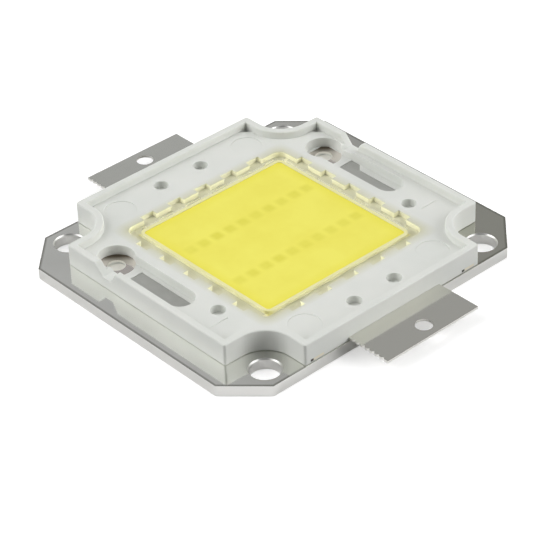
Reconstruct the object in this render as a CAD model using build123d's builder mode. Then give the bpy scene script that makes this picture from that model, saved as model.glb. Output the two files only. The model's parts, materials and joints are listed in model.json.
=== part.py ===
# High-power LED module: a nickel-plated copper base plate carries a moulded white
# housing with two stamped leads in it. Two rows of dies sit on the plate under a
# yellow phosphor fill, and clear silicone seals the castellated border around it.
# Millimetres, +Z up. The origin is the middle of the plate's underside, the leads
# point along X, and the two rows of dies run along Y.
import os

from build123d import *

os.makedirs("parts", exist_ok=True)

# Housing, with heights measured up from the plate
housing_side = 39.8
housing_height = 2.8
floor_height = 1.8
rim_wall = 0.9
rim_edge_break = 0.1
foot_edge_break = 0.1
screw_inset = 2.8
screw_clearance = 3.4
screw_wall = 0.95
bay_round = 3.7
ear_round = 0.3

# Base plate, with the margins by which it passes the housing
plate_margin_x = 0.1
plate_margin_y = 3.1
plate_thickness = 1.4
plate_land = 1.24
screw_hole = 3.6
screw_hole_break = 0.15

# Stamped leads
lead_gap = 0.2
lead_thickness = 0.3
lead_span = 52.0
lead_margin = 1.0
lead_split = 0.5
tab_width = 14.3
tab_hole = 2.1
tab_hole_inset = 1.9
tab_hole_shift = 0.4
serration_pitch = 0.75
serration_depth = 0.3
serration_margin = 0.4
tie_bar_width = 2.0
tie_bar_inset = 1.8
finger_width = 1.6
finger_reach = 0.6

# Light window, from the housing inwards, with heights measured up from the plate
notch_ledge = 1.55
notch_depth = 0.8
notch_width = 2.0
notch_pitch = 4.2
border_width = 1.15
border_depth = 0.15
border_corner = 1.3
dam_wall = 0.4
dam_height = 1.5
phosphor_depth = 1.4
phosphor_corner = 0.5

# Dies, their attach and their wires
die_rows = 2
dies_per_row = 10
row_spacing = 8.5
die_side = 1.14
die_thickness = 0.15
die_end_gap = 0.5
attach_thickness = 0.05
wire_size = 0.05
wire_inset = 0.2
wire_loop = 0.45

# Recesses beside two sides of the window, where the leads show. Steps along X are
# measured from the pilot hole that each recess starts at.
recess_wall = 0.7
recess_width = 3.5
recess_height = 0.6
recess_end_gap = 8.55
outlet_start = 1.7
outlet_width = 1.5
outlet_flare = 0.8
outlet_slant = 1.3
outlet_height = 1.4
view_start = 3.25
view_wide = 2.3
view_step = 0.9
view_ledge = 0.6
view_end_ledge = 0.7
pilot_inset = 1.8
pilot_well = 4.5
pilot_hole = 2.2

# Small moulding features of the housing floor
blind_hole = 1.9
blind_hole_depth = 1.0
blind_side_inset = 2.3
blind_side_y = 3.13
blind_end_gap = 1.85
blind_end_step = 3.0
ejector_mark = 4.0
ejector_inset = 3.0
ejector_end_gap = 3.6
mark_depth = 0.08
tally_step = 1.9
tally_length = 2.4
tally_width = 0.2
corner_pit = 1.0
corner_pit_depth = 0.9

# Levels that follow
plate_top = plate_thickness
lead_bottom = plate_top + lead_gap
lead_top = lead_bottom + lead_thickness
recess_floor = plate_top + recess_height
outlet_floor = plate_top + outlet_height
floor_top = plate_top + floor_height
rim_top = plate_top + housing_height
border_top = floor_top - border_depth
die_bottom = plate_top + attach_thickness
die_top = die_bottom + die_thickness

# Places in the plan that follow, each measured from the middle
housing_half = housing_side / 2
rim_inner = housing_half - rim_wall
screw_at = housing_half - screw_inset
ear_end = screw_at - screw_clearance
pit_wall = ear_end - screw_wall
plate_x = housing_side + 2 * plate_margin_x
plate_y = housing_side + 2 * plate_margin_y
plate_corner = (plate_x + plate_y) / 2 - 2 * screw_at - (screw_hole / 2 + plate_land) * 2**0.5
recess_y = rim_inner - recess_wall - recess_width / 2
notch_end = recess_y - recess_width / 2 - notch_ledge
opening_half = notch_end - notch_depth
notch_count = int(2 * (opening_half - border_corner) // notch_pitch)
dam_outer = opening_half - border_width
dam_corner = phosphor_corner + dam_wall
phosphor_half = dam_outer - dam_wall
finger_tip = phosphor_half - finger_reach
finger_mid = phosphor_half - finger_reach / 2
die_pitch = (2 * (finger_tip - die_end_gap) - die_side) / (dies_per_row - 1)
lead_inner = dam_outer
lead_outer = rim_inner - lead_margin / 2
lead_end = ear_end - lead_margin
arm_tip = lead_inner - lead_split
tab_free = lead_span / 2 - housing_half
tie_bar_y = ear_end - tie_bar_inset
pilot_x = pilot_inset - arm_tip
recess_end_x = pit_wall - recess_end_gap
recess_round_x = recess_end_x - recess_width / 2
recess_mid_x = (pilot_x + recess_round_x) / 2
outlet_left = pilot_x + outlet_start
outlet_right = outlet_left + outlet_width
view_left = pilot_x + view_start
view_step_x = view_left + view_wide
view_right = recess_end_x - view_end_ledge
view_outer = recess_y + recess_width / 2
view_narrow = view_outer - view_step
view_inner = recess_y - recess_width / 2 + view_ledge
blind_end_x = recess_end_x + blind_end_step
blind_end_y = notch_end + blind_end_gap
ejector_y = ear_end - ejector_end_gap


def screw_bays(wall):
    """Four corner bays with round inner corners, each widened by a wall round it."""
    inner_corner = bay_round + wall
    bay = housing_half - ear_end + wall + inner_corner
    middle = ear_end - wall + bay / 2
    with GridLocations(2 * middle, 2 * middle, 2, 2):
        RectangleRounded(bay, bay, inner_corner, mode=Mode.SUBTRACT)


def castellated_opening():
    """Window opening with a row of notches along each of its four sides."""
    RectangleRounded(2 * opening_half, 2 * opening_half, border_corner)
    with PolarLocations(opening_half, 4):
        with GridLocations(1, notch_pitch, 1, notch_count):
            Rectangle(2 * notch_depth, notch_width)


def lead_plan(side):
    """Plan of one lead: side 1 leaves along +X and feeds the +Y ends of the rows."""
    middle = side * (lead_inner + lead_outer) / 2
    width = lead_outer - lead_inner
    with BuildSketch(Plane.XY.offset(lead_bottom)) as plan:
        # Tab, the bar beside the window and its two cut tie bars
        with Locations((side * (lead_inner + lead_span / 2) / 2, 0)):
            Rectangle(lead_span / 2 - lead_inner, tab_width)
        with Locations((middle, 0)):
            Rectangle(width, 2 * lead_end)
        with Locations((side * (lead_inner + housing_half) / 2, 0)):
            with GridLocations(0, 2 * tie_bar_y, 1, 2):
                Rectangle(housing_half - lead_inner, tie_bar_width)
        # Arm along the ends of the rows, with a bond finger for each row
        with Locations((side * (lead_end - arm_tip) / 2, middle)):
            Rectangle(lead_end + arm_tip, width)
        with Locations((0, side * (finger_tip + lead_outer) / 2)):
            with GridLocations(row_spacing, 0, die_rows, 1):
                Rectangle(finger_width, lead_outer - finger_tip)
        # Solder hole, pilot hole, and the sheared edge that is left serrated
        with Locations((side * (lead_span / 2 - tab_hole_inset), tab_hole_shift)):
            Circle(tab_hole / 2, mode=Mode.SUBTRACT)
        with Locations((pilot_x, side * recess_y)):
            Circle(pilot_hole / 2, mode=Mode.SUBTRACT)
        teeth = int((tab_free - 2 * serration_margin) // serration_pitch)
        with Locations((side * (housing_half + tab_free / 2), -tab_width / 2)):
            with GridLocations(serration_pitch, 0, teeth, 1):
                Rectangle(serration_depth, serration_depth, 45, mode=Mode.SUBTRACT)
    return plan.sketch


# Base plate with its four screw holes
with BuildPart() as base_plate:
    with BuildSketch():
        Rectangle(plate_x, plate_y)
        chamfer(vertices(), plate_corner)
        with GridLocations(2 * screw_at, 2 * screw_at, 2, 2):
            Circle(screw_hole / 2, mode=Mode.SUBTRACT)
    extrude(amount=plate_thickness)
    hole_rims = faces().sort_by(Axis.Z)[-1].edges().filter_by(GeomType.CIRCLE)
    chamfer(hole_rims, screw_hole_break)
base_plate.part.label = "base_plate"

# The two stamped leads
with BuildPart() as lead_negative:
    add(lead_plan(-1))
    extrude(amount=lead_thickness)
lead_negative.part.label = "lead_negative"

with BuildPart() as lead_positive:
    add(lead_plan(1))
    extrude(amount=lead_thickness)
lead_positive.part.label = "lead_positive"

# Moulded housing
with BuildPart() as housing:
    with BuildSketch(Plane.XY.offset(plate_top)):
        Rectangle(housing_side, housing_side)
        screw_bays(0)
        ears = vertices().filter_by(lambda v: max(abs(v.X), abs(v.Y)) > rim_inner)
        fillet(ears, ear_round)
    extrude(amount=housing_height)
    chamfer(faces().sort_by(Axis.Z)[0].edges(), foot_edge_break)

    # Sunken floor, which leaves the rim
    with BuildSketch(Plane.XY.offset(floor_top)):
        Rectangle(2 * rim_inner, 2 * rim_inner)
        screw_bays(screw_wall)
    extrude(amount=housing_height - floor_height, mode=Mode.SUBTRACT)
    chamfer(faces().sort_by(Axis.Z)[-1].edges(), rim_edge_break)

    # Castellated opening down to the leads, and the dam round the light window in it
    with BuildSketch(Plane.XY.offset(lead_top)):
        castellated_opening()
    extrude(amount=floor_top - lead_top, mode=Mode.SUBTRACT)
    with BuildSketch(Plane.XY.offset(plate_top)):
        RectangleRounded(2 * dam_outer, 2 * dam_outer, dam_corner)
    extrude(amount=dam_height)
    with BuildSketch(Plane.XY.offset(plate_top)):
        RectangleRounded(2 * phosphor_half, 2 * phosphor_half, phosphor_corner)
    extrude(amount=dam_height, mode=Mode.SUBTRACT)

    # Recesses with one round end
    with BuildSketch(Plane.XY.offset(recess_floor)):
        with Locations((recess_mid_x, -recess_y), (recess_mid_x, recess_y)):
            Rectangle(recess_round_x - pilot_x, recess_width)
        with Locations((recess_round_x, -recess_y), (recess_round_x, recess_y)):
            Circle(recess_width / 2)
    extrude(amount=floor_top - recess_floor, mode=Mode.SUBTRACT)

    # Their outlets through the rim, wider at the top
    for side in (-1, 1):
        with BuildSketch(Plane((0, side * recess_y, 0), x_dir=(1, 0, 0), z_dir=(0, side, 0))):
            with BuildLine():
                Polyline(
                    (outlet_left, -side * outlet_floor),
                    (outlet_right, -side * outlet_floor),
                    (outlet_right + outlet_flare, -side * rim_top),
                    (outlet_left - outlet_slant, -side * rim_top),
                    close=True,
                )
            make_face()
        extrude(amount=housing_half - recess_y, mode=Mode.SUBTRACT)

    # Views of the leads in the recess floors, narrower past a slanted step
    for side in (-1, 1):
        with BuildSketch(Plane.XY.offset(lead_top)):
            Polygon(
                (view_left, side * view_inner),
                (view_right, side * view_inner),
                (view_right, side * view_narrow),
                (view_step_x, side * view_narrow),
                (view_step_x - view_step, side * view_outer),
                (view_left, side * view_outer),
                align=None,
            )
        extrude(amount=recess_floor - lead_top, mode=Mode.SUBTRACT)

    # Stepped wells over the pilot holes
    with Locations((pilot_x, -recess_y, floor_top), (pilot_x, recess_y, floor_top)):
        Hole(pilot_well / 2, floor_top - lead_top)
        Hole(pilot_hole / 2, floor_top - plate_top)

    # Blind holes, ejector marks and tally lines
    with Locations((0, 0, floor_top)):
        with GridLocations(2 * (rim_inner - blind_side_inset), 2 * blind_side_y, 2, 2):
            Hole(blind_hole / 2, blind_hole_depth)
        with GridLocations(2 * (rim_inner - ejector_inset), 2 * ejector_y, 2, 2):
            Hole(ejector_mark / 2, mark_depth)
    with Locations((blind_end_x, -blind_end_y, floor_top), (blind_end_x, blind_end_y, floor_top)):
        Hole(blind_hole / 2, blind_hole_depth)
    with BuildSketch(Plane.XY.offset(floor_top)):
        with Locations((blind_end_x + tally_step, 0)):
            with GridLocations(0, 2 * recess_y, 1, 2):
                Rectangle(tally_width, tally_length)
    extrude(amount=-mark_depth, mode=Mode.SUBTRACT)

    # Triangular pits where the rim meets the walls of the screw bays
    with BuildSketch(Plane.XY.offset(floor_top)):
        with PolarLocations(0, 4):
            for turn in (-1, 1):
                Polygon(
                    (rim_inner, turn * pit_wall),
                    (rim_inner - corner_pit, turn * pit_wall),
                    (rim_inner, turn * (pit_wall - corner_pit)),
                    align=None,
                )
    extrude(amount=-corner_pit_depth, mode=Mode.SUBTRACT)

    # The leads are moulded in
    add(lead_negative.part, mode=Mode.SUBTRACT)
    add(lead_positive.part, mode=Mode.SUBTRACT)
housing.part.label = "housing"

# Clear silicone in the castellated border
with BuildPart() as border_seal:
    with BuildSketch(Plane.XY.offset(lead_top)):
        castellated_opening()
        RectangleRounded(2 * dam_outer, 2 * dam_outer, dam_corner, mode=Mode.SUBTRACT)
    extrude(amount=border_top - lead_top)
border_seal.part.label = "border_seal"

# Die attach, one pad under each die
with BuildPart() as die_attach:
    with BuildSketch(Plane.XY.offset(plate_top)):
        with GridLocations(row_spacing, die_pitch, die_rows, dies_per_row):
            Rectangle(die_side, die_side)
    extrude(amount=attach_thickness)
die_attach.part.label = "die_attach"

# Dies, numbered along each row
die_spots = list(GridLocations(row_spacing, die_pitch, die_rows, dies_per_row))
dies = []
for number, spot in enumerate(die_spots, 1):
    with BuildPart() as led_die:
        with BuildSketch(Plane(spot).offset(die_bottom)):
            Rectangle(die_side, die_side)
        extrude(amount=die_thickness)
    led_die.part.label = f"led_die_{number:02d}"
    dies.append(led_die.part)

# Bond wires of each row: from a finger to the first die, die to die, and to the other finger
crest = die_top + wire_loop
wires = []
for row in range(die_rows):
    row_spots = die_spots[row * dies_per_row : (row + 1) * dies_per_row]
    bonds = [(-finger_mid, lead_top)]
    for spot in row_spots:
        bonds.append((spot.position.Y - die_side / 2 + wire_inset, die_top))
        bonds.append((spot.position.Y + die_side / 2 - wire_inset, die_top))
    bonds.append((finger_mid, lead_top))
    row_x = row_spots[0].position.X
    with BuildPart() as bond_wires:
        for (y0, z0), (y1, z1) in zip(bonds[0::2], bonds[1::2]):
            slope = (y1 - y0) / 4
            with BuildLine(Plane.YZ.offset(row_x)) as loop:
                Polyline(
                    (y0, z0),
                    (y0, (z0 + crest) / 2),
                    (y0 + slope, crest),
                    (y1 - slope, crest),
                    (y1, (z1 + crest) / 2),
                    (y1, z1),
                )
            with BuildSketch(Plane((row_x, y0, z0))):
                Rectangle(wire_size, wire_size)
            sweep(path=loop.line, transition=Transition.RIGHT)
    bond_wires.part.label = f"bond_wires_row_{row + 1}"
    wires.append(bond_wires.part)

# Phosphor fill, cast round all that stands in the light window
with BuildPart() as phosphor_fill:
    with BuildSketch(Plane.XY.offset(plate_top)):
        RectangleRounded(2 * phosphor_half, 2 * phosphor_half, phosphor_corner)
    extrude(amount=phosphor_depth)
    add([lead_negative.part, lead_positive.part, die_attach.part], mode=Mode.SUBTRACT)
    add(dies + wires, mode=Mode.SUBTRACT)
phosphor_fill.part.label = "phosphor_fill"

shown = [base_plate.part, housing.part, lead_negative.part, lead_positive.part, border_seal.part]
sealed = [phosphor_fill.part, die_attach.part]
for piece in shown + sealed + dies + wires:
    export_step(piece, f"parts/{piece.label}.step")
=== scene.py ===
# Looks of the high-power LED module: bright nickel plate, silvered leads, satin white
# housing, clear border and yellow phosphor, on white studio paper.
import json
import math

import bmesh
import bpy
from mathutils import Matrix, Vector
from mathutils.geometry import convex_hull_2d


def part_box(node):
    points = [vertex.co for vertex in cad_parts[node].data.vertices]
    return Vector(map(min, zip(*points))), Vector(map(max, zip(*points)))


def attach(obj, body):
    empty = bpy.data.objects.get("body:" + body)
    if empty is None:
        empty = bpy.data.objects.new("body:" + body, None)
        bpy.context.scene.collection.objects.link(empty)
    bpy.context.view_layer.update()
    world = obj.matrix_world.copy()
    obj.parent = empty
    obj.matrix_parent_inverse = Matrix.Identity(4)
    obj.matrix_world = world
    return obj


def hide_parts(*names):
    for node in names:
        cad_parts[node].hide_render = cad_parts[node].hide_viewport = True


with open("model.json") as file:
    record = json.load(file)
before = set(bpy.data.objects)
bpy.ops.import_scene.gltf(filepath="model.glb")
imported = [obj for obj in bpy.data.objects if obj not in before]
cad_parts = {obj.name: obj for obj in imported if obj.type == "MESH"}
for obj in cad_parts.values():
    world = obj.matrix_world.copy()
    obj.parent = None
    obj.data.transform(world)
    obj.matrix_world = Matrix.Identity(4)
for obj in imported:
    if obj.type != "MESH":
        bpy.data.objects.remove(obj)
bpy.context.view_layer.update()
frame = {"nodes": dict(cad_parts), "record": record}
nodes = frame["nodes"]
MM = 0.001

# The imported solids: corners of their boxes, and the pattern of the screw holes
PLATE_LOW, PLATE_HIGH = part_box("base_plate")
LEAD_LOW, LEAD_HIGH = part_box("lead_positive")
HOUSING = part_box("housing")[1]
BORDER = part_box("border_seal")[1]
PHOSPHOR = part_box("phosphor_fill")[1]
DIES = [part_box(name) for name in sorted(nodes) if name.startswith("led_die_")]
SCREWS = next(m["dims"] for m in frame["record"]["mounts"] if m["kind"] == "bolt_pattern")

# Sizes of the solids that those don't give
SCREW_CLEARANCE = 3.4 * MM
TIE_BAR_WIDTH = 2.0 * MM
PILOT_INSET = 1.8 * MM
PILOT_LEDGE = 3.3 * MM
PILOT_WELL_RADIUS = 2.3 * MM
PILOT_HOLE_RADIUS = 1.2 * MM
HOLE_EDGE_BREAK = 0.17 * MM
DAM_WALL = 0.4 * MM
DAM_RISE = 0.1 * MM

# Places in the plan, alike on the -Y and the +Y side, and the top of the dam
SCREW_AT = SCREWS["spacing_x_mm"] / 2 * MM
SCREW_RIM = SCREWS["hole_r_mm"] * MM + HOLE_EDGE_BREAK
EAR_END = SCREW_AT - SCREW_CLEARANCE
TIE_BAR_Y = -LEAD_LOW.y - TIE_BAR_WIDTH / 2
PILOT_X = LEAD_LOW.x + PILOT_INSET
PILOT_Y = BORDER.y + PILOT_LEDGE
DAM_HALF = PHOSPHOR.x + DAM_WALL
DAM_TOP = PHOSPHOR.z + DAM_RISE

# Clear border: overlap into the moulding, height and width of its meniscus; then what
# counts as one place, as flat, in radians, and as an upward normal
OVERLAP = 0.01 * MM
MENISCUS = 0.06 * MM
MENISCUS_WIDTH = 0.15 * MM
SAME_PLACE = 0.001 * MM
FLAT_ANGLE = 0.02
UPWARD = 0.9

# A point this near a face is on it, and two looks that meet sharply blend over it
SKIN = 0.02 * MM

# The middle part of a noise, which is spread over two tones or two roughnesses
CLOUD = (0.35, 0.65)
STAIN = (0.35, 0.7)
GRAIN = (0.3, 0.7)

# Camera, fitted to the photograph: angles in degrees, lens in mm, distance in metres
CAMERA_AZIMUTH = 48.554
CAMERA_ELEVATION = 34.811
CAMERA_ROLL = -2.063
CAMERA_DISTANCE = 0.27193
CAMERA_LENS = 151.147
CAMERA_SENSOR = 36
CAMERA_SHIFT = (0.00043, -0.04105)

# Paper floor, from just inside the plate's outline to many times its size; its tone, the
# same for the light that it throws on the walls, and its glow for the camera
FLOOR_START = 0.99
FLOOR_REACH = 90
FLOOR_GAP = 0.02 * MM
HOLE_SIDES = 16
PAPER = 0.8
PAPER_FOR_WALLS = 0.3
PAPER_GLOW = 0.42

# Tall side panels: degrees round from the camera, elevation, power in watts
PANELS = {"left_panel": (-80, 35, 2.8), "right_panel": (80, 20, 3.5)}
PANEL_SIZE = (0.4, 0.7)
PANEL_DISTANCE = 0.6

# Strengths of the world's plain light and of what the metal mirrors, then the ranges
# over which they change: heights from 0, level, to 1, straight up, and turns from -1,
# away from the camera, to 1, towards it
AMBIENT = 0.44
SURROUND_LOW, SURROUND_HIGH = 0.8, 0.41
SURROUND_FRONT = 0.3
GLINT = 2.6
BOUNCE = 4.8
BOUNCE_IN_SILICONE = 0.1
SURROUND_HEIGHT = (0.1, 0.45)
GLINT_FOOT = (0.46, 0.54)
GLINT_HEAD = (0.75, 0.85)
BOUNCE_HEAD = (0.6, 0.9)
AMBIENT_TURN = (0.3, 0.8)
SURROUND_TURN = (0.1, 0.6)
ASIDE_TURN = (0.3, 0.5)


class Nodes:
    """Adds and links the shader nodes of one material or world."""

    def __init__(self, tree):
        self.tree = tree
        tree.nodes.clear()

    def add(self, kind, inputs=None, **settings):
        node = self.tree.nodes.new("ShaderNode" + kind)
        for key, value in settings.items():
            setattr(node, key, value)
        for key, value in (inputs or {}).items():
            self.put(node.inputs[key], value)
        return node

    def put(self, socket, value):
        if isinstance(value, bpy.types.NodeSocket):
            self.tree.links.new(value, socket)
        else:
            socket.default_value = value

    def place(self):
        """Place on the object, in metres."""
        return self.add("TexCoord").outputs["Object"]

    def axes(self, vector):
        return self.add("SeparateXYZ", {"Vector": vector}).outputs

    def math(self, operation, *values, clamp=False):
        node = self.add("Math", operation=operation, use_clamp=clamp)
        for socket, value in zip(node.inputs, values):
            self.put(socket, value)
        return node.outputs[0]

    def chain(self, operation, first, *others):
        """One operation over many values, such as their product."""
        for other in others:
            first = self.math(operation, first, other)
        return first

    def spread(self, value, low, high, to_low=0, to_high=1):
        """The value's range from low to high, brought to another range and clamped."""
        limits = {"From Min": low, "From Max": high, "To Min": to_low, "To Max": to_high}
        return self.add("MapRange", {"Value": value, **limits}).outputs[0]

    def noise(self, vector, scale, detail=2):
        """Soft noise with about so many features to a metre."""
        node = self.add("TexNoise", {"Vector": vector, "Scale": scale, "Detail": detail})
        return node.outputs[0]

    def bump(self, height, strength, distance, edge=None):
        """Normal of a fine relief, and of rounded edges where they are given."""
        node = self.add("Bump", {"Strength": strength, "Distance": distance, "Height": height})
        if edge is not None:
            self.put(node.inputs["Normal"], edge)
        return node.outputs[0]

    def round_edge(self, radius, samples):
        return self.add("Bevel", {"Radius": radius}, samples=samples).outputs[0]

    def mix(self, factor, first, second):
        """The first colour where the factor is 0, the second where it is 1."""
        node = self.add("Mix", data_type="RGBA")
        self.put(node.inputs[0], factor)
        self.put(node.inputs[6], first)
        self.put(node.inputs[7], second)
        return node.outputs[2]

    def blend(self, factor, first, second):
        """The first shader where the factor is 0, the second where it is 1."""
        node = self.add("MixShader", {"Fac": factor})
        self.put(node.inputs[1], first.outputs[0])
        self.put(node.inputs[2], second.outputs[0])
        return node

    def surface(self, shader, kind="Material"):
        self.add("Output" + kind, {"Surface": shader.outputs[0]})


def material(name):
    mat = bpy.data.materials.new(name)
    mat.use_nodes = True
    return mat, Nodes(mat.node_tree)


def grey(value):
    return (value, value, value, 1)


def within(n, place, half_x, half_y, blur):
    """1 inside a rectangle about the middle of the plan, 0 outside, over a soft edge."""
    inside = []
    for axis, half in zip(n.axes(place), (half_x, half_y)):
        inside.append(n.spread(n.math("ABSOLUTE", axis), half - blur, half + blur, 1, 0))
    return n.math("MULTIPLY", *inside)


def around(n, axes, middle_x, middle_y, radius):
    """1 within a radius of the points at (x, y) and (x, -y) in the plan, 0 outside."""
    off_x = n.math("SUBTRACT", axes[0], middle_x)
    off_y = n.math("SUBTRACT", n.math("ABSOLUTE", axes[1]), middle_y)
    square = n.math("ADD", n.math("MULTIPLY", off_x, off_x), n.math("MULTIPLY", off_y, off_y))
    return n.math("LESS_THAN", square, radius * radius)


def from_nearer(n, axis, middle):
    """Distance along an axis from the nearer of the two places at middle and -middle."""
    return n.math("SUBTRACT", axis, n.math("MULTIPLY", n.math("SIGN", axis), middle))


def rolled(n, place):
    """Faint stain of a rolled metal, and its fine lines along X."""
    stretched = n.add("Mapping", {"Vector": place, "Scale": (1, 14, 1)}).outputs[0]
    return n.noise(place, 160, 3), n.noise(stretched, 900, 3)


# White moulding: the two tones of its cloud, and its creams of painted phosphor light near
# the window, in the border under the silicone, and on the dam
WHITE_TONES = (0.735, 0.75, 0.715, 1), (0.765, 0.775, 0.74, 1)
PHOSPHOR_LIGHT_NEAR_WINDOW = (0.6, 0.59, 0.4, 1)
LIT_UNDER_BORDER = (0.92, 0.91, 0.76, 1)
PHOSPHOR_LIGHT_ON_DAM = (0.8, 0.775, 0.45, 1)
PAINTED_CAST_HALF = BORDER.x - 0.35 * MM
PAINTED_CAST_BLUR = 0.9 * MM
PAINTED_CAST_STRENGTH = 0.9
SUNK_DEPTH = 0.12 * MM
DAM_BLUR = 0.05 * MM
MOULDING_EDGE = 0.07 * MM
MOULDING_GRAIN = 0.02 * MM
MOULDING_SCATTER = 0.15 * MM


def white_moulding():
    """Satin compound, a little translucent, with painted phosphor light: olive near the
    window, yellow on the dam, brighter cream in the border under the silicone.
    """
    mat, n = material("white_moulding")
    place = n.place()
    sunk = n.spread(n.axes(place)[2], BORDER.z, BORDER.z + SUNK_DEPTH, 1, 0)
    cast = within(n, place, PAINTED_CAST_HALF, PAINTED_CAST_HALF, PAINTED_CAST_BLUR)
    border = within(n, place, BORDER.x, BORDER.y, SKIN)
    dam = within(n, place, DAM_HALF, DAM_HALF, DAM_BLUR)
    colour = n.mix(n.spread(n.noise(place, 180, 3), *CLOUD), *WHITE_TONES)
    # Painted light from the phosphor: an olive cast near the window, a brighter cream under
    # the silicone in the border, and yellow on the dam
    colour = n.mix(n.math("MULTIPLY", cast, PAINTED_CAST_STRENGTH), colour, PHOSPHOR_LIGHT_NEAR_WINDOW)
    colour = n.mix(n.math("MULTIPLY", border, sunk), colour, LIT_UNDER_BORDER)
    colour = n.mix(n.math("MULTIPLY", dam, sunk), colour, PHOSPHOR_LIGHT_ON_DAM)
    grain = n.noise(place, 5200)
    n.surface(n.add("BsdfPrincipled", {
        "Base Color": colour,
        "Roughness": n.spread(grain, *GRAIN, 0.42, 0.52),
        "Specular IOR Level": 0.4,
        "Normal": n.bump(grain, 0.12, MOULDING_GRAIN, n.round_edge(MOULDING_EDGE, 6)),
        "Subsurface Weight": 1.0,
        "Subsurface Radius": (1, 1, 1),
        "Subsurface Scale": MOULDING_SCATTER,
    }))
    return mat


# Silvered strip: outside the housing on the -X and the +X side, its cut sides, painted
# reflection and shade from the light to the dark side of a well, dull in the housing, brighter
# and yellower with painted phosphor light in the border, and a tie bar's burr and cut face
STRIP_TONES = (0.85, 0.86, 0.81, 1), (0.8, 0.81, 0.76, 1)
STRIP_POSITIVE = (0.735, 0.73, 0.675, 1)
STRIP_CUT = (0.95, 0.94, 0.9, 1)
WELL_LIT_AND_SHADED_TONES = (0.82, 0.77, 0.73, 1), (0.22, 0.18, 0.14, 1)
DULL_TONES = (0.39, 0.395, 0.37, 1), (0.45, 0.45, 0.43, 1)
STRIP_LIT_IN_BORDER = (0.69, 0.69, 0.6, 1)
TIE_BAR_TONES = (0.06, 0.05, 0.04, 1), (0.85, 0.8, 0.65, 1)
DULL_START = HOUSING.x - 0.05 * MM
BORDER_REACH = BORDER.x + 0.25 * MM
ROLLED_DEPTH = 0.004 * MM
# The way to a well's painted dark side from the pilot hole, and where the painted shade sets
# in; then where the burr ends, from the middle of its tie bar
WELL_SHADE_ACROSS = (-0.75, 0.66)
WELL_SHADE_RANGE = (0.9 * MM, 1.8 * MM)
BURR_RANGE = (-0.65 * MM, -0.5 * MM)


def silver_strip():
    """Bright silvered strip outside the housing with painted reflection and shade in its
    wells, dull in the housing, brighter with painted phosphor light in the border, with bare
    cut tie bars.
    """
    mat, n = material("silver_strip")
    place = n.place()
    axes = n.axes(place)
    stain, lines = rolled(n, place)
    well = around(n, axes, PILOT_X, PILOT_Y, PILOT_WELL_RADIUS)
    inside = within(n, place, DULL_START, HOUSING.y, SKIN)
    inside = n.math("SUBTRACT", inside, well, clamp=True)

    bright = n.mix(n.spread(stain, *STAIN), *STRIP_TONES)
    bright = n.mix(n.math("GREATER_THAN", axes[0], 0.0), bright, STRIP_POSITIVE)
    # Painted reflection and shade in each well: light on one side, dark on the other
    across_x = n.math("MULTIPLY", n.math("SUBTRACT", axes[0], PILOT_X), WELL_SHADE_ACROSS[0])
    across_y = n.math("MULTIPLY", from_nearer(n, axes[1], PILOT_Y), WELL_SHADE_ACROSS[1])
    across = n.spread(n.math("ADD", across_x, across_y), *WELL_SHADE_RANGE)
    bright = n.mix(well, bright, n.mix(across, *WELL_LIT_AND_SHADED_TONES))
    cut_side = n.math("LESS_THAN", axes[2], LEAD_HIGH.z - SKIN)
    satin = n.math("MULTIPLY", cut_side, 0.4)
    polished = n.add("BsdfPrincipled", {
        "Base Color": n.mix(cut_side, bright, STRIP_CUT),
        "Roughness": n.math("MAXIMUM", n.spread(stain, *GRAIN, 0.07, 0.12), satin),
        "Metallic": 1.0,
        "Normal": n.bump(lines, 0.3, ROLLED_DEPTH),
    })

    # Painted light: in the border the strip is brighter and yellower, for the phosphor's light
    # in the trench
    window = within(n, place, BORDER_REACH, BORDER_REACH, SKIN)
    tone = n.mix(window, n.mix(n.noise(place, 900), *DULL_TONES), STRIP_LIT_IN_BORDER)
    # Each cut tie bar is pale copper, with a dark burr at its -Y end
    far_x = n.math("GREATER_THAN", n.math("ABSOLUTE", axes[0]), HOUSING.x - SKIN)
    far_y = n.math("GREATER_THAN", n.math("ABSOLUTE", axes[1]), TIE_BAR_Y - TIE_BAR_WIDTH)
    tie_bar = n.math("MULTIPLY", far_x, far_y)
    past_burr = n.spread(from_nearer(n, axes[1], TIE_BAR_Y), *BURR_RANGE)
    dull = n.add("BsdfPrincipled", {
        "Base Color": n.mix(tie_bar, tone, n.mix(past_burr, *TIE_BAR_TONES)),
        "Roughness": 0.5,
        "Metallic": 0.25,
    })
    n.surface(n.blend(n.math("MAXIMUM", inside, tie_bar), polished, dull))
    return mat


# Nickel plate: painted shade from its lit to its shaded end, over the sum of x and y; its
# stain, the painted dark reflection of its rolled edges, its holes and other faces, and the
# compound in the pilot holes
NICKEL_LIT_AND_SHADED = (0.94, 0.945, 0.91, 1), (0.53, 0.53, 0.47, 1)
NICKEL_SHADE_RANGE = (-8 * MM, 32 * MM)
NICKEL_STAIN = (0.3, 0.3, 0.26, 1)
NICKEL_STAIN_STRENGTH = 0.08
NICKEL_EDGE_SHADE = (0.16, 0.16, 0.13, 1)
NICKEL_EDGE_SHADE_STRENGTH = 0.65
NICKEL_EDGE_SHADE_RANGE = (0.1 * MM, 0.35 * MM)
NICKEL_SIDE = (0.88, 0.875, 0.85, 1)
NICKEL_SATIN = 0.35
PLUG = (0.8, 0.79, 0.72, 1)
PLATE_EDGE = 0.05 * MM


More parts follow.
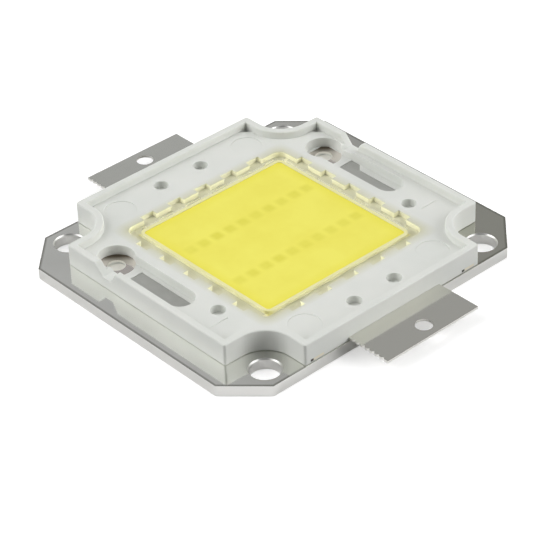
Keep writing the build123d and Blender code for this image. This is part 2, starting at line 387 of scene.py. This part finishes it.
def bright_nickel():
    """Nearly a mirror, painted darker towards its +X, +Y corner, with painted dark reflections
    of rolled edges on its ears; satin in its holes and below.
    """
    mat, n = material("bright_nickel")
    place = n.place()
    axes = n.axes(place)
    x, y = n.math("ABSOLUTE", axes[0]), n.math("ABSOLUTE", axes[1])
    stain, lines = rolled(n, place)
    on_top = n.math("GREATER_THAN", axes[2], PLATE_HIGH.z - SKIN)
    lapped = n.math("LESS_THAN", axes[2], PLATE_LOW.z + SKIN)
    ear = n.math("GREATER_THAN", y, EAR_END)
    hole = around(n, (x, y), SCREW_AT, SCREW_AT, SCREW_RIM)
    bare = n.math("MAXIMUM", hole, n.math("SUBTRACT", 1.0, on_top))
    plug = n.math("MULTIPLY", around(n, axes, PILOT_X, PILOT_Y, PILOT_HOLE_RADIUS), on_top)

    # Distance from the plate's sides and from its cut corners
    corner = max(abs(v.co.x) + abs(v.co.y) for v in nodes["base_plate"].data.vertices)
    past_corner = n.math("SUBTRACT", corner, n.math("ADD", x, y))
    gap = n.chain("MINIMUM",
                  n.math("SUBTRACT", PLATE_HIGH.x, x),
                  n.math("SUBTRACT", PLATE_HIGH.y, y),
                  n.math("MULTIPLY", past_corner, math.sqrt(0.5)))
    # Painted shade: the top of the ears darkens near the sides, for the dark reflection of
    # their rolled edges
    edge = n.spread(gap, *NICKEL_EDGE_SHADE_RANGE, NICKEL_EDGE_SHADE_STRENGTH, 0)

    # Painted shade: the mirror darkens towards its +X, +Y corner
    colour = n.mix(n.spread(n.math("ADD", axes[0], axes[1]), *NICKEL_SHADE_RANGE), *NICKEL_LIT_AND_SHADED)
    stained = n.math("MULTIPLY", n.spread(stain, *STAIN), NICKEL_STAIN_STRENGTH)
    colour = n.mix(stained, colour, NICKEL_STAIN)
    colour = n.mix(n.chain("MULTIPLY", on_top, ear, edge), colour, NICKEL_EDGE_SHADE)
    colour = n.mix(bare, colour, NICKEL_SIDE)
    colour = n.mix(plug, colour, PLUG)
    satin = n.math("MULTIPLY", n.chain("MAXIMUM", hole, plug, lapped), NICKEL_SATIN)
    n.surface(n.add("BsdfPrincipled", {
        "Base Color": colour,
        "Roughness": n.math("MAXIMUM", n.spread(stain, *GRAIN, 0.05, 0.09), satin),
        "Metallic": n.math("SUBTRACT", 1.0, plug),
        "Normal": n.bump(lines, 0.25, ROLLED_DEPTH, n.round_edge(PLATE_EDGE, 4)),
    }))
    return mat


# Phosphor: the two tones of its cloud, its edge, and the spots of the dies
PHOSPHOR_TONES = (0.875, 0.805, 0.12, 1), (0.905, 0.845, 0.14, 1)
PHOSPHOR_EDGE = (0.865, 0.79, 0.08, 1)
PHOSPHOR_SPOT = (0.73, 0.665, 0.055, 1)
PHOSPHOR_RIPPLE = 0.05 * MM
MIDDLE_HALF = PHOSPHOR.x - 0.5 * MM
MIDDLE_BLUR = 0.9 * MM
SPOT_MARGIN = 0.1 * MM
SPOT_BLUR = 0.3 * MM
SPOT_STRENGTH = (0.35, 0.65)


def die_spots(n, place):
    """1 over each die of the two rows, 0 between them, over a soft edge."""
    axes = n.axes(place)
    rows = {round((low.x + high.x) / 2, 6) for low, high in DIES}
    middles = [(low.y + high.y) / 2 for low, high in DIES]
    pitch = (max(middles) - min(middles)) / (len(DIES) / len(rows) - 1)
    half = (DIES[0][1].x - DIES[0][0].x) / 2 + SPOT_MARGIN
    across = n.math("SUBTRACT", n.math("ABSOLUTE", axes[0]), max(rows))
    along = n.math("PINGPONG", n.math("SUBTRACT", axes[1], min(middles)), pitch / 2)
    in_row = n.math("LESS_THAN", n.math("ABSOLUTE", axes[1]), max(middles) + pitch / 2)
    spot_x = n.spread(n.math("ABSOLUTE", across), half - SPOT_BLUR, half + SPOT_BLUR, 1, 0)
    spot_y = n.spread(along, half - SPOT_BLUR, half + SPOT_BLUR, 1, 0)
    return n.chain("MULTIPLY", spot_x, spot_y, in_row)


def phosphor_gel():
    """Yellow phosphor in silicone, with the dies showing through as soft spots."""
    mat, n = material("phosphor_gel")
    place = n.place()
    middle = within(n, place, MIDDLE_HALF, MIDDLE_HALF, MIDDLE_BLUR)
    yellow = n.mix(n.spread(n.noise(place, 260, 3), *CLOUD), *PHOSPHOR_TONES)
    yellow = n.mix(middle, PHOSPHOR_EDGE, yellow)
    strength = n.spread(n.noise(place, 330, 1), *GRAIN, *SPOT_STRENGTH)
    spots = n.math("MULTIPLY", die_spots(n, place), strength)
    n.surface(n.add("BsdfPrincipled", {
        "Base Color": n.mix(spots, yellow, PHOSPHOR_SPOT),
        "Roughness": 0.35,
        "Specular IOR Level": 0.3,
        "Normal": n.bump(n.noise(place, 420), 0.1, PHOSPHOR_RIPPLE),
    }))
    return mat


SILICONE_TONES = (0.97, 0.955, 0.82, 1), (0.985, 0.975, 0.9, 1)
SILICONE_RIPPLE = 0.05 * MM


def clear_silicone():
    """Clear silicone with the faint yellow cast that the phosphor gives it.

    Shadow rays pass straight through, so the lamps reach the strip below.
    """
    mat, n = material("clear_silicone")
    place = n.place()
    tint = n.mix(n.noise(place, 300), *SILICONE_TONES)
    shader = n.add("BsdfPrincipled", {
        "Base Color": tint,
        "Roughness": 0.05,
        "IOR": 1.41,
        "Transmission Weight": 1.0,
        "Normal": n.bump(n.noise(place, 700), 0.15, SILICONE_RIPPLE),
    })
    passing = n.add("BsdfTransparent", {"Color": tint})
    n.surface(n.blend(n.add("LightPath").outputs["Is Shadow Ray"], shader, passing))
    return mat


# The pieces that the phosphor hides
DIE_TONES = (0.05, 0.06, 0.09, 1), (0.1, 0.11, 0.15, 1)
GOLD_TONES = (0.9, 0.62, 0.2, 1), (0.95, 0.7, 0.28, 1)
ADHESIVE_TONES = grey(0.5), grey(0.65)


def plain(name, tones, rough, metallic=0.0):
    """A fine cloud of two tones."""
    mat, n = material(name)
    n.surface(n.add("BsdfPrincipled", {
        "Base Color": n.mix(n.noise(n.place(), 1500), *tones),
        "Roughness": rough,
        "Metallic": metallic,
    }))
    return mat


def add_object(name, data):
    item = bpy.data.objects.new(name, data)
    bpy.context.scene.collection.objects.link(item)
    return item


def cast_border(mat):
    """The clear border with its meniscus, its hidden sides a little into the housing."""
    source = nodes["border_seal"]
    bm = bmesh.new()
    bm.from_mesh(source.data)
    bm.transform(source.matrix_world)
    bmesh.ops.remove_doubles(bm, verts=bm.verts, dist=SAME_PLACE)
    bmesh.ops.dissolve_limit(bm, angle_limit=FLAT_ANGLE, verts=bm.verts, edges=bm.edges)
    bm.normal_update()
    top = max(v.co.z for v in bm.verts)
    moves = [(v, v.co + v.normal * OVERLAP * v.calc_shell_factor()) for v in bm.verts]
    for v, place in moves:
        level = v.co.z
        v.co = place
        if level > top - SAME_PLACE:
            v.co.z = top + MENISCUS
    crown = [f for f in bm.faces
             if f.normal.z > UPWARD and f.calc_center_median().z > top - SAME_PLACE]
    bmesh.ops.inset_region(bm, faces=crown, thickness=MENISCUS_WIDTH, use_even_offset=True)
    for v in {v for f in crown for v in f.verts}:
        v.co.z = top
    # It runs down to the top of the dam
    dam_edge = DAM_HALF + MENISCUS_WIDTH / 2
    for v in bm.verts:
        if max(abs(v.co.x), abs(v.co.y)) < dam_edge and v.co.z > DAM_TOP:
            v.co.z = DAM_TOP
    mesh = bpy.data.meshes.new("cast_border")
    bm.to_mesh(mesh)
    bm.free()
    mesh.materials.append(mat)
    piece = add_object("cast_border", mesh)
    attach(piece, "root")
    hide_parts("border_seal")


def dress(names, mat):
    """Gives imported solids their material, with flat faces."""
    for name in names:
        obj = nodes[name]
        obj.data.materials.clear()
        obj.data.materials.append(mat)
        for polygon in obj.data.polygons:
            polygon.use_smooth = False


def direction(azimuth, elevation):
    """Unit vector from the origin; azimuth 0 is -Y and 90 is +X, both in degrees."""
    a, e = math.radians(azimuth), math.radians(elevation)
    return Vector((math.cos(e) * math.sin(a), -math.cos(e) * math.cos(a), math.sin(e)))


def add_camera():
    back = direction(CAMERA_AZIMUTH, CAMERA_ELEVATION)
    right = Vector((0, 0, 1)).cross(back).normalized()
    up = back.cross(right)
    roll = math.radians(CAMERA_ROLL)
    x_axis = right * math.cos(roll) + up * math.sin(roll)
    y_axis = up * math.cos(roll) - right * math.sin(roll)
    data = bpy.data.cameras.new("camera")
    data.lens = CAMERA_LENS
    data.sensor_width = CAMERA_SENSOR
    data.shift_x, data.shift_y = CAMERA_SHIFT
    data.clip_start, data.clip_end = 0.01, 10
    camera = add_object("camera", data)
    rotation = Matrix((x_axis, y_axis, back)).transposed().to_4x4()
    camera.matrix_world = Matrix.Translation(back * CAMERA_DISTANCE) @ rotation
    bpy.context.scene.camera = camera


def floor_paper():
    """White to the camera, dim in the light that it throws on the walls.

    It is clear from below, so that the underside can be seen.
    """
    mat, n = material("floor_paper")
    path = n.add("LightPath").outputs
    tone = n.mix(path["Is Diffuse Ray"], grey(PAPER), grey(PAPER_FOR_WALLS))
    glow = n.math("MULTIPLY", path["Is Camera Ray"], PAPER_GLOW)
    lit = n.add("AddShader")
    n.put(lit.inputs[0], n.add("BsdfDiffuse", {"Color": tone}).outputs[0])
    n.put(lit.inputs[1], n.add("Emission", {"Color": grey(1.0), "Strength": glow}).outputs[0])
    from_below = n.add("NewGeometry").outputs["Backfacing"]
    n.surface(n.blend(from_below, lit, n.add("BsdfTransparent")))
    return mat


def add_floor():
    """Paper round the plate and under its screw holes, open below the plate itself."""
    points = [v.co.xy for v in nodes["base_plate"].data.vertices]
    outline = [points[i] for i in convex_hull_2d(points)]
    count = len(outline)
    spots = [p * FLOOR_START for p in outline] + [p * FLOOR_REACH for p in outline]
    faces = [(i, i + count, (i + 1) % count + count, (i + 1) % count) for i in range(count)]
    turns = [math.tau * i / HOLE_SIDES for i in range(HOLE_SIDES)]
    rim = [Vector((math.cos(turn), math.sin(turn))) * SCREW_RIM for turn in turns]
    for x in (-SCREW_AT, SCREW_AT):
        for y in (-SCREW_AT, SCREW_AT):
            faces.append(tuple(range(len(spots), len(spots) + HOLE_SIDES)))
            spots += [Vector((x, y)) + p for p in rim]
    mesh = bpy.data.meshes.new("floor")
    mesh.from_pydata([(p.x, p.y, 0) for p in spots], [], faces)
    mesh.materials.append(floor_paper())
    floor = add_object("floor", mesh)
    floor.location.z = -FLOOR_GAP


def add_panel(name, azimuth, elevation, power):
    """A lamp that metal doesn't mirror; the world's surround takes its place there."""
    data = bpy.data.lights.new(name, "AREA")
    data.shape = "RECTANGLE"
    data.size, data.size_y = PANEL_SIZE
    data.energy = power
    panel = add_object(name, data)
    panel.location = direction(azimuth, elevation) * PANEL_DISTANCE
    panel.rotation_euler = panel.location.to_track_quat("Z", "Y").to_euler()
    panel.visible_camera = False
    panel.visible_glossy = False


def background(n, strength):
    return n.add("Background", {"Color": grey(1.0), "Strength": strength})


def add_world():
    """White to the camera, a plain light that is dim in front, and a surround for metal.

    The surround is bright low down, mid-grey above and dark on the camera's side. On
    the left and right it has two brighter bands. One is for the broken edges to catch.
    The other is the light that the bright plate throws up on the white walls, so it
    counts only after a white surface, and little through the silicone.
    """
    world = bpy.data.worlds.new("studio")
    world.use_nodes = True
    bpy.context.scene.world = world
    n = Nodes(world.node_tree)
    path = n.add("LightPath").outputs
    ray = n.add("TexCoord").outputs["Generated"]
    height = n.axes(ray)[2]
    facing = n.add("VectorMath", operation="DOT_PRODUCT")
    n.put(facing.inputs[0], ray)
    n.put(facing.inputs[1], tuple(direction(CAMERA_AZIMUTH, 0)))
    turn = facing.outputs["Value"]

    base = n.math("MULTIPLY",
                  n.spread(height, *SURROUND_HEIGHT, SURROUND_LOW, SURROUND_HIGH),
                  n.spread(turn, *SURROUND_TURN, 1, SURROUND_FRONT))
    aside = n.spread(n.math("ABSOLUTE", turn), *ASIDE_TURN, 1, 0)
    glint = n.chain("MULTIPLY", aside,
                    n.spread(height, *GLINT_FOOT, 0, GLINT),
                    n.spread(height, *GLINT_HEAD, 1, 0))
    bounce = n.chain("MULTIPLY", aside,
                     n.spread(height, *BOUNCE_HEAD, BOUNCE, 0),
                     n.math("GREATER_THAN", path["Diffuse Depth"], 0.5),
                     n.spread(path["Is Transmission Ray"], 0, 1, 1, BOUNCE_IN_SILICONE))
    surround = background(n, n.chain("MAXIMUM", base, glint, bounce))
    ambient = background(n, n.spread(turn, *AMBIENT_TURN, AMBIENT, 0))
    light = n.blend(path["Is Glossy Ray"], ambient, surround)
    n.surface(n.blend(path["Is Camera Ray"], light, background(n, 1.0)), "World")


die_names = [name for name in nodes if name.startswith("led_die_")]
wire_names = [name for name in nodes if name.startswith("bond_wires_")]
dress(["housing"], white_moulding())
dress(["base_plate"], bright_nickel())
dress(["lead_negative", "lead_positive"], silver_strip())
dress(["phosphor_fill"], phosphor_gel())
cast_border(clear_silicone())
dress(die_names, plain("die_surface", DIE_TONES, 0.2))
dress(["die_attach"], plain("silver_adhesive", ADHESIVE_TONES, 0.4, 1.0))
dress(wire_names, plain("gold_wire", GOLD_TONES, 0.2, 1.0))

add_camera()
add_floor()
add_world()
for panel_name, (turn, elevation, power) in PANELS.items():
    add_panel(panel_name, CAMERA_AZIMUTH + turn, elevation, power)
bpy.context.scene.view_settings.view_transform = "Standard"
